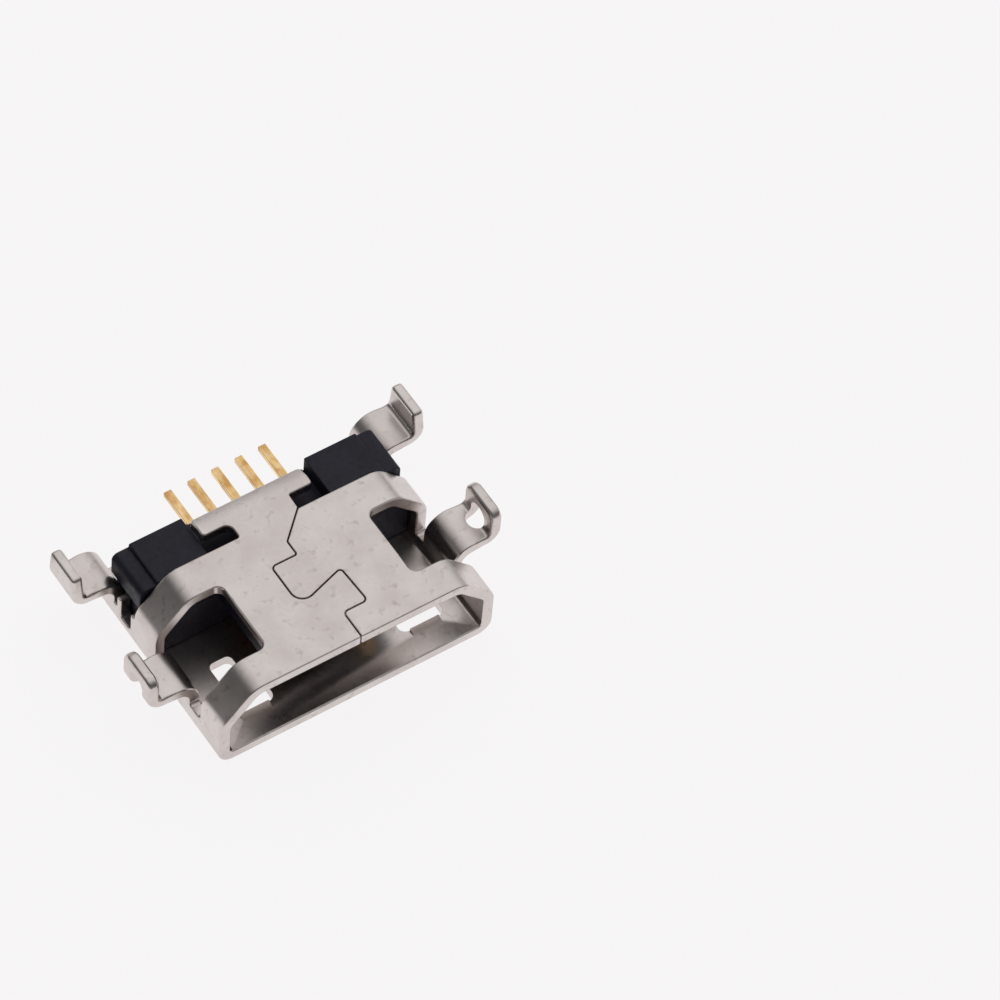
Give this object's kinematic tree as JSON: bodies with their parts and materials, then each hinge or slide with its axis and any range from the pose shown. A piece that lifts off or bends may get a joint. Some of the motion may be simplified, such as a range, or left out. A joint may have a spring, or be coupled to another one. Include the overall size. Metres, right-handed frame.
{
  "type": "charging port",
  "caption": "Charging port for a circuit board: a folded metal shell with side tabs around a moulded housing and flat contacts, set into a cut-out in the board's edge.",
  "frame": {"origin": "middle of the bounding box's underside, which is the outer face of the shell's wide wall", "axes": "+Z from the wide wall to the narrow wall, -Y out of the mouth, +Y along the contact tails, +X across the port"},
  "size_m": [0.0096, 0.0064, 0.0025],
  "materials": {
    "shell": "satin nickel plate",
    "housing": "fine matte moulding",
    "contact": "gold plate"
  },
  "bodies": {
    "root": {"shell": "shell", "housing": "housing", "contact_1": "contact", "contact_2": "contact", "contact_3": "contact", "contact_4": "contact", "contact_5": "contact"}
  },
  "joints": []
}
